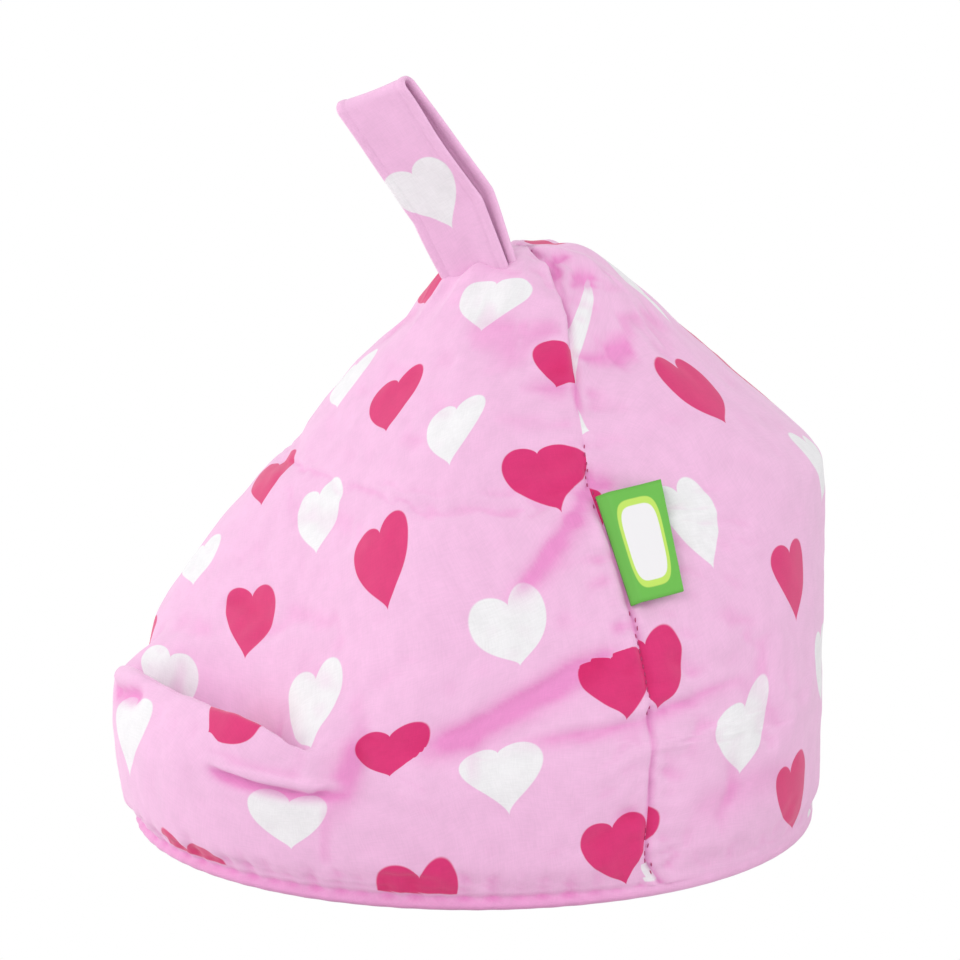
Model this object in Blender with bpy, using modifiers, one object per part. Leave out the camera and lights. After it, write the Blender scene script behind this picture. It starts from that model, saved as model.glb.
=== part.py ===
"""A bean-filled cushion that props a flat thing up on a desk. The filled bag has a slanted front with a
groove and a lip at its foot, a gathered top with a carry loop, and a label in its right side seam.

Metres, +Z up. The front faces -Y. The origin is on the floor, under the middle of the base.
"""

import math

import bmesh
import bpy
from mathutils import Vector
from mathutils.bvhtree import BVHTree

# Filled bag: its sections are circles, each with a height, a radius and a set-back along +Y
BASE_RADIUS = 0.118
BASE_SET_BACK = 0.002
BELLY_HEIGHT = 0.048
BELLY_RADIUS = 0.128
SHOULDER_HEIGHT = 0.138
SHOULDER_RADIUS = 0.1005
SHOULDER_SET_BACK = 0.038
SHOULDER_ROUND = 0.006
CROWN_HEIGHT = 0.206
CROWN_RADIUS = 0.030
CROWN_SET_BACK = 0.026
CROWN_DOME = 0.004
# How late the upper sections turn from the belly's to the shoulder's
LEAN_POWER = 1.3

# Base panel: flat inside, rolled up at its rim to the base seam
BASE_RIM_WIDTH = 0.007
BASE_RIM_HEIGHT = 0.0025
BASE_SEAM_HEIGHT = 0.006
BASE_SEAM_DEPTH = 0.0018

# Slanted front, and the groove and lip that hold a propped thing's lower edge
SLOPE_LEAN = math.radians(30)
SLOPE_FOOT_HEIGHT = 0.050
SLOPE_FOOT_Y = -0.098
SLOPE_EDGE_ROUND = 0.016
GROOVE_WIDTH = 0.0135
GROOVE_DEPTH = 0.015
LIP_HEIGHT = 0.060

# Soft folds: side seams drawn in, valleys that run on from the groove's ends, gathers at the top
SEAM_PINCH = 0.005
SEAM_PINCH_ANGLE = math.radians(13)
VALLEY_DEPTH = 0.006
VALLEY_HALF_WIDTH = 0.010
VALLEY_RISE = 0.038
VALLEY_SPREAD = math.radians(50)
GATHER_COUNT = 9
GATHER_DEPTH = 0.0028
GATHER_REACH = 0.040
PLEAT_DEPTH = 0.006
PLEAT_HALF_WIDTH = 0.005

# Carry loop: a strap folded in half, leaning forward from the gathered top
STRAP_WIDTH = 0.029
STRAP_THICKNESS = 0.0022
STRAP_FOOT_Y = 0.006
LOOP_LENGTH = 0.076
LOOP_LEAN = math.radians(37)
LOOP_SKEW = math.radians(14)
LOOP_GAP = 0.0072
LOOP_FOOT_GAP = 0.0006
LOOP_SEGMENTS = 14

# Folded label on the right side seam
LABEL_HEIGHT = 0.040
LABEL_WIDTH = 0.025
LABEL_THICKNESS = 0.0012
LABEL_FOOT_HEIGHT = 0.100
LABEL_TILT = math.radians(6)
LABEL_LIFT = 0.003
LABEL_COLUMNS = 8
LABEL_ROWS = 10

# Clearance between pieces that touch
SEAT_GAP = 0.0003

COLUMNS = 40
ROWS = 26
FRONT = 1.5 * math.pi


def clear_scene():
    for thing in list(bpy.data.objects):
        bpy.data.objects.remove(thing)


def material(name, colour, roughness):
    made = bpy.data.materials.new(name)
    made.use_nodes = True
    surface = made.node_tree.nodes["Principled BSDF"]
    surface.inputs["Base Color"].default_value = (*colour, 1.0)
    surface.inputs["Roughness"].default_value = roughness
    surface.inputs["Metallic"].default_value = 0.0
    return made


def smooth_step(low, high, value):
    share = min(max((value - low) / (high - low), 0.0), 1.0)
    return share * share * (3.0 - 2.0 * share)


def mix(a, b, share):
    return a + (b - a) * share


def soft_min(a, b, rounding):
    """The smaller of two distances, with the corner between them rounded."""
    overlap = max(rounding - abs(a - b), 0.0) / rounding
    return min(a, b) - overlap * overlap * rounding / 4.0


def bell(distance, half_width):
    return math.exp(-((distance / half_width) ** 2))


def section(height):
    """The radius and the set-back of the round section at a height."""
    if height <= BELLY_HEIGHT:
        share = math.sin(0.5 * math.pi * max(height, 0.0) / BELLY_HEIGHT)
        return mix(BASE_RADIUS, BELLY_RADIUS, share), mix(BASE_SET_BACK, 0.0, share)
    rise = (height - BELLY_HEIGHT) / (SHOULDER_HEIGHT - BELLY_HEIGHT)
    lower = rise**LEAN_POWER
    fall = (height - SHOULDER_HEIGHT) / (CROWN_HEIGHT - SHOULDER_HEIGHT)
    radius = soft_min(
        mix(BELLY_RADIUS, SHOULDER_RADIUS, lower),
        mix(SHOULDER_RADIUS, CROWN_RADIUS, fall),
        SHOULDER_ROUND,
    )
    if height <= SHOULDER_HEIGHT:
        return radius, mix(0.0, SHOULDER_SET_BACK, lower)
    return radius, mix(SHOULDER_SET_BACK, CROWN_SET_BACK, min(fall, 1.0))


def seam_y(height):
    """The side seams climb over the middle of the base, then run back to meet at the gathered crown."""
    return CROWN_SET_BACK * smooth_step(SHOULDER_HEIGHT, CROWN_HEIGHT, height)


def slope_y(height):
    return SLOPE_FOOT_Y + (height - SLOPE_FOOT_HEIGHT) * math.tan(SLOPE_LEAN)


def round_reach(height, angle):
    """How far the round section reaches from the seam line, before the front is cut slanting."""
    radius, set_back = section(height)
    off = set_back - seam_y(height)
    return off * math.sin(angle) + math.sqrt(max(radius**2 - (off * math.cos(angle)) ** 2, 1e-8))


def slope_reach(height, angle):
    facing = -math.sin(angle)
    if facing < 0.05:
        return 10.0
    return (seam_y(height) - slope_y(height)) / facing


def side_angle(angle):
    """The angle away from the nearer side seam."""
    return min(abs(math.remainder(angle, 2 * math.pi)), abs(math.remainder(angle - math.pi, 2 * math.pi)))


def valley(height, angle):
    """Folds that run from the groove's ends up to the side seams, where they fade."""
    if math.sin(angle) >= 0.0:
        return 0.0
    turn = side_angle(angle) / VALLEY_SPREAD
    path = SLOPE_FOOT_HEIGHT + VALLEY_RISE * (1.0 - turn)
    strength = smooth_step(0.0, 0.5, turn) * (1.0 - smooth_step(1.0, 1.3, turn))
    return VALLEY_DEPTH * strength * bell(height - path, VALLEY_HALF_WIDTH)


def wall_reach(height, angle):
    """How far the bag's side reaches from the seam line at a height."""
    reach = soft_min(round_reach(height, angle), slope_reach(height, angle), SLOPE_EDGE_ROUND)
    pinch = SEAM_PINCH * bell(side_angle(angle), SEAM_PINCH_ANGLE)
    pinch *= smooth_step(0.0, BELLY_HEIGHT, height)
    return reach - pinch - valley(height, angle)


def lip_share(angle):
    """1 where the lip stands full in front of the slope, 0 where the slope meets the bag's side."""
    room = round_reach(SLOPE_FOOT_HEIGHT, angle) - slope_reach(SLOPE_FOOT_HEIGHT, angle)
    full = round_reach(SLOPE_FOOT_HEIGHT, FRONT) - slope_reach(SLOPE_FOOT_HEIGHT, FRONT)
    return smooth_step(0.0, 0.55, room / full)


def side_profile():
    """Heights of the rows between the base seam and the crown, from the bottom."""
    below = [0.26, 0.48, 0.70, 0.88]
    above = [0.12, 0.28, 0.46, 0.64, 0.80, 0.93]
    heights = [BELLY_HEIGHT * share for share in below]
    heights += [BELLY_HEIGHT + step for step in (0.000, 0.003, 0.006, 0.009)]
    start = heights[-1]
    heights += [mix(start, SHOULDER_HEIGHT, share) for share in above]
    heights += [SHOULDER_HEIGHT]
    heights += [mix(SHOULDER_HEIGHT, CROWN_HEIGHT, share) for share in (0.09, 0.40, 0.72, 1.0)]
    return heights


def lip_profile(angle):
    """Reach and height of the four rows that make the lip and the groove, from the outside in."""
    foot = slope_reach(SLOPE_FOOT_HEIGHT, angle)
    outside = round_reach(SLOPE_FOOT_HEIGHT, angle)
    inner_lip = min(foot + GROOVE_WIDTH, outside - 0.002)
    crest = mix(inner_lip, outside, 0.45)
    bottom = SLOPE_FOOT_HEIGHT - GROOVE_DEPTH
    return [
        (crest, LIP_HEIGHT),
        (inner_lip, mix(LIP_HEIGHT, bottom, 0.35)),
        (foot + 0.5 * GROOVE_WIDTH, bottom),
        (foot - 0.001, SLOPE_FOOT_HEIGHT + 0.002),
    ]


def gathers(height, angle):
    """Small folds that fan out from the crown."""
    strength = smooth_step(CROWN_HEIGHT - GATHER_REACH, CROWN_HEIGHT, height)
    return GATHER_DEPTH * strength * math.cos(GATHER_COUNT * angle)


def bag_point(row, angle):
    """Where the cage's vertex in a row, counted from the bottom, goes."""
    heights = side_profile()
    first_side = 7
    lip_rows = first_side + 4
    top_row = first_side + len(heights)
    if row < 4:
        reach, height = (BASE_RADIUS - BASE_RIM_WIDTH) * (0.0, 0.40, 0.72, 0.92)[row], 0.0
        middle = BASE_SET_BACK
    elif row < first_side:
        rim = BASE_RADIUS - BASE_RIM_WIDTH
        reach = (rim, BASE_RADIUS, BASE_RADIUS - BASE_SEAM_DEPTH)[row - 4]
        height = (0.0, BASE_RIM_HEIGHT, BASE_SEAM_HEIGHT)[row - 4]
        middle = BASE_SET_BACK
    elif row < top_row:
        height = heights[row - first_side]
        reach = wall_reach(height, angle) + gathers(height, angle)
        if lip_rows <= row < lip_rows + 4:
            share = lip_share(angle)
            lip_reach, lip_height = lip_profile(angle)[row - lip_rows]
            reach = mix(round_reach(height, angle), lip_reach, share) if share > 0 else reach
            height = mix(height, lip_height, share)
        elif row < lip_rows:
            reach = mix(reach, round_reach(height, angle), lip_share(angle))
        middle = seam_y(height)
    else:
        inner = (ROWS - row) / (ROWS - top_row + 1)
        reach = (wall_reach(CROWN_HEIGHT, angle) + gathers(CROWN_HEIGHT, angle)) * inner
        height = CROWN_HEIGHT + CROWN_DOME * (1.0 - inner)
        middle = CROWN_SET_BACK
    return Vector((reach * math.cos(angle), middle + reach * math.sin(angle), height))


def pleat(point):
    """The crease across the crown where the side seams meet, with a puff of fabric on either side."""
    if point.z < CROWN_HEIGHT - GATHER_REACH:
        return 0.0
    fade = smooth_step(CROWN_HEIGHT - GATHER_REACH, CROWN_HEIGHT, point.z)
    return PLEAT_DEPTH * fade * bell(point.y - CROWN_SET_BACK, PLEAT_HALF_WIDTH)


def build_cushion(collection, fabric):
    cage = bmesh.new()
    bmesh.ops.create_uvsphere(cage, u_segments=COLUMNS, v_segments=ROWS, radius=1.0)
    for vertex in cage.verts:
        latitude = math.acos(min(max(vertex.co.z, -1.0), 1.0))
        row = ROWS - round(latitude * ROWS / math.pi)
        angle = math.atan2(vertex.co.y, vertex.co.x)
        vertex.co = bag_point(row, angle)
        vertex.co.z -= pleat(vertex.co)
    mesh = bpy.data.meshes.new("cushion")
    cage.to_mesh(mesh)
    cage.free()
    cushion = bpy.data.objects.new("cushion", mesh)
    collection.objects.link(cushion)
    soft = cushion.modifiers.new("Soft form", "SUBSURF")
    soft.levels = 1
    soft.render_levels = 1
    mesh.materials.append(fabric)
    mesh.shade_smooth()
    return cushion


def surface_of(thing):
    """The finished surface of an object, for pieces that are sewn onto it."""
    graph = bpy.context.evaluated_depsgraph_get()
    return BVHTree.FromObject(thing, graph)


def loop_path():
    """Points of the strap's centre line, as (offset along X, distance along the loop)."""
    foot = 0.5 * (LOOP_FOOT_GAP + STRAP_THICKNESS)
    belly = 0.5 * (LOOP_GAP + STRAP_THICKNESS)
    turn = 0.85 * belly
    rise = LOOP_LENGTH - turn - 0.5 * STRAP_THICKNESS
    leg = []
    for step in range(LOOP_SEGMENTS):
        share = step / (LOOP_SEGMENTS - 1)
        open_up = math.sin(0.5 * math.pi * min(share / 0.6, 1.0))
        close = 1.0 - 0.15 * smooth_step(0.6, 1.0, share)
        leg.append((mix(foot, belly, open_up) * close, rise * share))
    bend = [(turn * math.cos(a), rise + turn * math.sin(a)) for a in (math.pi * k / 6 for k in range(1, 6))]
    return leg + bend + [(-x, along) for x, along in reversed(leg)]


def seat_height(bag, y):
    """The highest point of the bag's top under the strap's foot."""
    half = 0.5 * LOOP_FOOT_GAP + STRAP_THICKNESS
    heights = []
    for x, ahead in ((x, ahead) for x in (-half, 0.0, half) for ahead in (-half, 0.0, half)):
        above = Vector((x, y + ahead, 2.0 * CROWN_HEIGHT))
        heights.append(bag.ray_cast(above, Vector((0.0, 0.0, -1.0)))[0].z)
    return max(heights)


def build_strap(collection, fabric, bag):
    up = Vector((0.0, -math.sin(LOOP_LEAN), math.cos(LOOP_LEAN)))
    across = Vector((0.0, math.cos(LOOP_SKEW), math.sin(LOOP_SKEW)))
    lanes = 4
    strip = bmesh.new()
    first = [strip.verts.new((0.0, 0.0, 0.0)) for _ in range(lanes + 1)]
    edges = [strip.edges.new(pair) for pair in zip(first, first[1:])]
    path = loop_path()
    rows = [first]
    for _ in path[1:]:
        grown = bmesh.ops.extrude_edge_only(strip, edges=edges)["geom"]
        edges = [item for item in grown if isinstance(item, bmesh.types.BMEdge)]
        edges = [edge for edge in edges if all(vertex in grown for vertex in edge.verts)]
        edges = [edge for edge in edges if len(edge.link_faces) == 1 and not set(edge.verts) & set(rows[-1])]
        rows.append([item for item in grown if isinstance(item, bmesh.types.BMVert)])
    for row, (offset, along) in zip(rows, path):
        for lane, vertex in enumerate(row):
            side = STRAP_WIDTH * (lane / lanes - 0.5)
            foot_y = STRAP_FOOT_Y + side * math.cos(LOOP_SKEW)
            root = Vector((0.0, foot_y, seat_height(bag, foot_y) + SEAT_GAP))
            level = Vector((0.0, STRAP_FOOT_Y, CROWN_HEIGHT)) + across * side
            base = root.lerp(level, min(along / (0.25 * LOOP_LENGTH), 1.0))
            vertex.co = base + up * along + Vector((offset, 0.0, 0.0))
    bmesh.ops.recalc_face_normals(strip, faces=strip.faces)
    mesh = bpy.data.meshes.new("carry_handle")
    strip.to_mesh(mesh)
    strip.free()
    strap = bpy.data.objects.new("carry_handle", mesh)
    collection.objects.link(strap)
    wall = strap.modifiers.new("Cloth thickness", "SOLIDIFY")
    wall.thickness = STRAP_THICKNESS
    wall.offset = 0.0
    mesh.materials.append(fabric)
    mesh.shade_smooth()
    return strap


def skin(bag, height, behind):
    """The bag's surface at a height, a distance behind the right side seam, and the way out there."""
    outside = Vector((2.0 * BELLY_RADIUS, seam_y(height) + behind, height))
    return bag.ray_cast(outside, Vector((-1.0, 0.0, 0.0)))[:2]


def seam_heights(bag):
    """Heights of the label's rows, spaced evenly along the sloping seam."""
    heights = [LABEL_FOOT_HEIGHT]
    for _ in range(LABEL_ROWS):
        outward = skin(bag, heights[-1], 0.0)[1]
        climb = math.hypot(outward.x, outward.y)
        heights.append(heights[-1] + climb * LABEL_HEIGHT / LABEL_ROWS)
    return heights


def build_label(collection, printed, bag):
    """A grid that starts on the seam and lies along the back panel, lifting towards its free edge."""
    tape = bmesh.new()
    bmesh.ops.create_grid(tape, x_segments=LABEL_COLUMNS, y_segments=LABEL_ROWS, size=0.5)
    heights = seam_heights(bag)
    for vertex in tape.verts:
        across = vertex.co.x + 0.5
        height = heights[round((vertex.co.y + 0.5) * LABEL_ROWS)]
        behind = LABEL_WIDTH * across * math.cos(LABEL_TILT)
        height += LABEL_WIDTH * across * math.sin(LABEL_TILT)
        hit, outward = skin(bag, height, behind)
        stand_off = SEAT_GAP + 0.5 * LABEL_THICKNESS + LABEL_LIFT * across * across
        vertex.co = hit + outward * stand_off
    bmesh.ops.recalc_face_normals(tape, faces=tape.faces)
    mesh = bpy.data.meshes.new("side_label")
    tape.to_mesh(mesh)
    tape.free()
    label = bpy.data.objects.new("side_label", mesh)
    collection.objects.link(label)
    wall = label.modifiers.new("Tape thickness", "SOLIDIFY")
    wall.thickness = LABEL_THICKNESS
    wall.offset = 0.0
    mesh.materials.append(printed)
    return label


def main():
    clear_scene()
    collection = bpy.data.collections.new("cushion stand")
    bpy.context.scene.collection.children.link(collection)
    fabric = material("printed cotton", (0.85, 0.50, 0.75), 0.9)
    printed = material("label tape", (0.16, 0.48, 0.10), 0.6)
    cushion = build_cushion(collection, fabric)
    bpy.context.view_layer.update()
    bag = surface_of(cushion)
    build_strap(collection, fabric, bag)
    build_label(collection, printed, bag)


main()
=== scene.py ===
"""The looks of a bean-filled cushion stand: printed cotton, seams and folds, a carry loop and a sewn-in tab.

Metres, +Z up, front towards -Y, origin on the floor under the base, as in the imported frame.
"""

import math

import bmesh
import bpy
import numpy as np
from mathutils import Matrix, Vector, noise
from mathutils.bvhtree import BVHTree


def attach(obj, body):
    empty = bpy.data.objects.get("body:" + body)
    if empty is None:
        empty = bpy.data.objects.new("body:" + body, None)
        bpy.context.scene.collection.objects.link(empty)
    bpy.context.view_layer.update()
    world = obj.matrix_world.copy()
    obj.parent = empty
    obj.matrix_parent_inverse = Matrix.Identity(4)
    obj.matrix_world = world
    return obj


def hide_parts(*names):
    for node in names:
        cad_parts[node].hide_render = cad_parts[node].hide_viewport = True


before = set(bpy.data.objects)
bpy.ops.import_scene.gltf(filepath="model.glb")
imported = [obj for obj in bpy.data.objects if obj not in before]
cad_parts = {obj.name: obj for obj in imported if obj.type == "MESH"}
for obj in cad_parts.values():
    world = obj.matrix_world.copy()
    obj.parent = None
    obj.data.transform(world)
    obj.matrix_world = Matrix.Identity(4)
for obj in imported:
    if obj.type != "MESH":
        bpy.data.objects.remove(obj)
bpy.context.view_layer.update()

# The filled bag's form, fitted to the photograph inside the frame's room for cloth
BASE_RADIUS = 0.123
BASE_SET_BACK = 0.003
BELLY_HEIGHT = 0.053
BELLY_RADIUS = 0.128
SHOULDER_HEIGHT = 0.1315
SHOULDER_RADIUS = 0.098
SHOULDER_SET_BACK = 0.0375
SHOULDER_ROUND = 0.004
CROWN_HEIGHT = 0.2095
CROWN_RADIUS = 0.020
CROWN_SET_BACK = 0.0255
CROWN_DOME = 0.004
LEAN_POWER = 1.26
BASE_RIM_WIDTH = 0.007
BASE_RIM_HEIGHT = 0.0025
BASE_SEAM_HEIGHT = 0.006
BASE_SEAM_DEPTH = 0.0018
SLOPE_LEAN = math.radians(30)
SLOPE_FOOT_HEIGHT = 0.050
SLOPE_FOOT_Y = -0.098
SLOPE_EDGE_ROUND = 0.016
GROOVE_WIDTH = 0.0135
GROOVE_DEPTH = 0.015
LIP_HEIGHT = 0.069
LIP_GROWTH = 0.9
LIP_WALL_LEAD = 3.0
LIP_INSIDE_SHARE = 0.35
SEAM_FORWARD = 0.006
SEAM_UPRIGHT_HEIGHT = 0.090
SEAM_PINCH = 0.005
SEAM_PINCH_ANGLE = math.radians(13)
VALLEY_DEPTH = 0.006
VALLEY_HALF_WIDTH = 0.010
VALLEY_RISE = 0.038
VALLEY_SPREAD = math.radians(50)
GATHER_COUNT = 9
GATHER_DEPTH = 0.0028
GATHER_REACH = 0.040
PLEAT_DEPTH = 0.006
PLEAT_HALF_WIDTH = 0.005
CAGE_ROWS = 26
FRONT = 1.5 * math.pi
BASE_ROWS = (0.0, 0.40, 0.72, 0.92)
BELLY_ROWS = (0.26, 0.48, 0.70, 0.88)
LIP_ROW_STEPS = (0.000, 0.003, 0.006, 0.009)
SLOPE_ROWS = (0.12, 0.28, 0.46, 0.64, 0.80, 0.93, 1.0)
TOP_ROWS = (0.09, 0.40, 0.72, 1.0)
BASE_SEAM_ROW = len(BASE_ROWS) + 2
FIRST_SIDE_ROW = BASE_SEAM_ROW + 1
FIRST_LIP_ROW = FIRST_SIDE_ROW + len(BELLY_ROWS)
FIRST_CROWN_ROW = FIRST_LIP_ROW + len(LIP_ROW_STEPS) + len(SLOPE_ROWS) + len(TOP_ROWS)

# Wide drawn-in folds: angle from the right side seam in degrees and height of each end, then depth and half
# width
FOLDS = (
    (-30, 0.058, 24, 0.0675, 0.0022, 0.006),
    (-6, 0.128, -34, 0.080, 0.0025, 0.009),
    (-76, 0.040, -48, 0.041, 0.0014, 0.006),
    (58, 0.193, 44, 0.165, 0.0028, 0.007),
    (112, 0.190, 104, 0.148, 0.0028, 0.008),
    (152, 0.188, 160, 0.142, 0.0025, 0.008),
    (80, 0.062, 116, 0.066, 0.0018, 0.008),
    (-150, 0.060, -206, 0.068, 0.0022, 0.007),
    (-172, 0.126, -148, 0.084, 0.0025, 0.009),
)

# The cloth's mesh: columns around the bag, and steps between two rows of the cage
COLUMNS = 200
SPLIT = 5
ROWS = CAGE_ROWS * SPLIT

# Cloth simulation, and how far it may move the surface once the wide swelling is taken out
FILL_PRESSURE = 4.0
FILL_FRAMES = 20
FILL_LIMIT = 0.004
SWELL_ROUNDS = 80
PINNED_SEAM = 0.0008
PINNED_BASE_HEIGHT = 0.010

# Side seams: depth and half width of the groove, of the rolls beside it and of the puckers
SEAM_GROOVE = (0.0016, 0.0012)
SEAM_ROLL = (0.0004, 0.0016)
SEAM_ROLL_PLACE = 0.003
PUCKERS = (0.0011, 0.011)
PUCKER_GAP = 0.0018
BASE_WAVES = (0.0012, 0.006)
BASE_WAVES_HEIGHT = 0.004
BASE_GROOVE = (0.0014, 0.0014)
BASE_FLUSH = (0.0016, 0.0035)
BASE_PLAIN_EDGE = 0.0016
GRAIN_HEIGHT = 0.0006

# Carry loop: the strap's foot, how far the strap drifts aside from foot to top, and the loop's bends
STRAP_WIDTH = 0.0305
STRAP_THICKNESS = 0.0018
STRAP_FOOT_Y = 0.004
STRAP_FOOT_HEIGHT = 0.2092
STRAP_DRIFT = (0.0013, -0.0065)
STRAP_BACK_DRIFT = 0.0026
LOOP_LENGTH = 0.0672
LOOP_TURN = math.radians(25.7)
LOOP_TILT = math.radians(21.8)
LOOP_LEAN = math.radians(19)
LOOP_GAP = 0.0050
LOOP_FOOT_GAP = 0.0006
LOOP_WIDEST = 0.6
LOOP_CLOSING = 0.15
LOOP_ROOT = 0.25
FOLD_FLATNESS = 0.85

# Strap's hem and stitch lines: place as a share of the half width, spread, and height or depth
HEM = (0.86, 0.10, 0.00025)
STITCH_LINE = (0.74, 0.030, 0.00040)
STRAP_ROOT_DEPTH = 0.002

# Label's corners on the bag: at the seam and at the free edge, each from the bottom to the top
LABEL_CORNERS = (
    (Vector((0.1052, 0.0002, 0.1003)), Vector((0.0824, 0.0006, 0.1341))),
    (Vector((0.1081, 0.0181, 0.1023)), Vector((0.0887, 0.0215, 0.1373))),
)

LABEL_LAYER = 0.00045
LABEL_CLEARANCE = 0.0004
LABEL_CURL = 0.0022
LABEL_FIELD = (0.66, 0.78)

# Heights between which the side seams' thread shows, the space between two stitches and a stitch's half sizes
STITCHED_HEIGHTS = ((0.006, 0.028), (0.064, 0.100), (0.126, 0.150))
STITCH_PITCH = 0.0027
STITCH_SIZE = (0.00095, 0.00024, 0.00024)

# Print: hearts of two colours on a lattice, the pale ones in the middle of the dark ones' cells
PRINT_ACROSS = 0.076
PRINT_UP = 0.058
HEART_WIDTH = 0.0285

# Points of a heart around its middle, in half widths: left and right ends, tip, notch and the middle itself
HEART_POINTS = ((-1.0, 0.385), (1.0, 0.385), (0.0, -0.877), (0.0, 0.607), (0.0, 0.0))

# Where hearts lie on the front and back panels, as seen: lattice column and row, then the angle in degrees
# and the height in mm of such of their points as can be told
FRONT_HEARTS = (
    (-2.5, 0.5, (-110.7, 45.0), (-94.6, 52.5), (-102.1, 29.0), (-100.8, 52.0), None),
    (-1.5, 0.5, (-68.1, 35.8), (-54.3, 37.8), (-58.4, 21.5), None, None),
    (-2.0, 0.0, (-93.1, 3.3), (-76.3, 4.7), None, (-85.2, 8.8), None),
    (-1.0, 0.0, (-44.8, 9.0), (-31.6, 8.8), None, (-37.4, 14.4), None),
    (-0.5, 0.5, (-32.7, 52.9), (-20.6, 55.5), (-24.0, 38.5), (-27.7, 57.9), None),
    (0.0, 0.0, (-11.7, 23.7), (0.9, 27.0), (-2.2, 6.2), (-6.5, 27.7), None),
    (0.0, 1.0, (-11.8, 81.2), None, (-4.5, 65.5), (-6.4, 84.9), None),
    (-0.5, 1.5, None, (-16.5, 103.2), (-22.0, 84.7), None, None),
    (-2.0, 1.0, None, (-66.8, 58.6), (-77.2, 55.9), None, None),
    (-1.0, 1.0, None, (-37.1, 64.2), None, None, None),
    (0.0, 2.0, None, None, (-7.6, 131.0), None, (-12.5, 141.0)),
)
BACK_HEARTS = (
    (0.0, 1.0, None, (7.0, 85.0), (2.1, 66.8), None, None),
    (0.0, 0.0, None, (0.9, 27.0), None, None, None),
    (0.5, 0.5, (12.5, 55.6), (25.7, 60.3), (18.7, 40.6), (19.6, 61.6), None),
    (1.0, 1.0, (31.1, 105.6), (41.0, 99.9), (35.6, 87.9), (35.5, 108.4), None),
    (1.0, 2.0, (29.3, 169.1), (44.4, 163.6), (38.2, 154.1), (35.3, 169.4), None),
    (0.5, 1.5, (13.0, 132.4), (21.2, 127.7), (17.1, 111.7), (15.6, 132.5), None),
    (1.0, 0.0, (29.6, 24.4), None, (38.1, 10.1), (31.2, 34.2), None),
    (1.5, 1.5, (55.9, 138.0), None, (55.1, 119.6), (60.5, 136.4), None),
    (0.0, 2.0, None, (0.4, 137.0), None, None, None),
    (2.0, 2.0, (66.0, 171.0), None, None, None, None),
    (1.5, 2.5, (84.0, 205.0), None, None, None, None),
    (0.5, 2.5, None, (3.0, 180.0), None, None, None),
    (0.0, 3.0, None, (1.0, 203.0), None, None, None),
)

# Depth in mm from which a fold has its full painted shade. Strips of cloth tucked in at folds: the fold's
# place in the table below, the strip's width and how far above the fold the print is shifted
FULL_SHADE_DEPTH = 2.2
TUCKS = ((0, 0.005, 0.030), (1, 0.003, 0.012))

# Finer folds: angle and height in mm of the line's points, then depth, half width and the bulge along the
# upper side, in mm
FINE_FOLDS = (
    (((-78, 44), (-74, 43), (-70, 42), (-65, 41.2), (-60, 40.8), (-55, 41), (-49, 41.8)), 3.4, 1.9, 2.4),
    (
        ((-41, 53), (-37, 59.5), (-31, 64.5), (-24.5, 72), (-19, 77), (-14, 82), (-6, 86), (0, 88)),
        2.4,
        4.6,
        1.0,
    ),
    (((-28, 58.8), (-19, 61.6), (-11.5, 62.3), (-3, 63.1), (4, 67), (14, 70.4), (24, 71)), 1.1, 2.6, 0.8),
    (((6, 147), (0, 137), (-6, 128), (-12, 121), (-17, 114), (-26, 100)), 1.7, 4.0, 0.8),
    (((29, 208), (9, 204), (3.4, 200.3), (2.1, 197.2)), 1.8, 2.0, 0.8),
    (((12, 201), (18, 200), (27, 197)), 2.0, 4.5, 0.6),
    (((14, 176), (20, 177), (27, 178)), 0.7, 5.0, 0.3),
    (((-118, 51), (-112, 53.8), (-104, 57), (-98, 59)), 3.0, 2.8, 1.4),
    (((6, 30), (22, 36), (38, 34)), 0.8, 6.0, 0.4),
    (((110, 190), (104, 170), (100, 150)), 2.0, 6.0, 1.0),
    (((150, 188), (152, 168), (158, 150)), 2.0, 6.0, 1.0),
    (((75, 60), (95, 66), (118, 62)), 1.0, 7.0, 0.6),
    (((184, 62), (196, 66), (214, 72)), 1.2, 3.0, 0.8),
)

# Colours
PINK = (0.80, 0.465, 0.69, 1.0)
PALE = (0.79, 0.78, 0.80, 1.0)
DARK = (0.65, 0.028, 0.165, 1.0)
THREAD = (0.42, 0.04, 0.15, 1.0)
GREEN = (0.14, 0.46, 0.07, 1.0)
LIME = (0.50, 0.72, 0.12, 1.0)
# Painted shade: the colour that folds, hollows and the base's roll are multiplied toward
FOLD_SHADE = (0.95, 0.58, 0.82, 1.0)
WHITE = (1.0, 1.0, 1.0, 1.0)
FLOOR = (0.86, 0.86, 0.86, 1.0)

# The strap's own heart: its middle from the strap's left edge and foot, and how far it leans
STRAP_HEART = (0.0132, 0.0243)
STRAP_HEART_TURN = math.radians(-6)

# Where the lights are aimed
BAG_MIDDLE = Vector((0.0, 0.0, 0.10))


def smooth_step(low, high, value):
    share = np.clip((value - low) / (high - low), 0.0, 1.0)
    return share * share * (3.0 - 2.0 * share)


def mix(a, b, share):
    return a + (b - a) * share


def soft_min(a, b, rounding):
    overlap = np.maximum(rounding - np.abs(a - b), 0.0) / rounding
    return np.minimum(a, b) - overlap * overlap * rounding / 4.0


def bell(distance, half_width):
    return np.exp(-((distance / half_width) ** 2))


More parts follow.
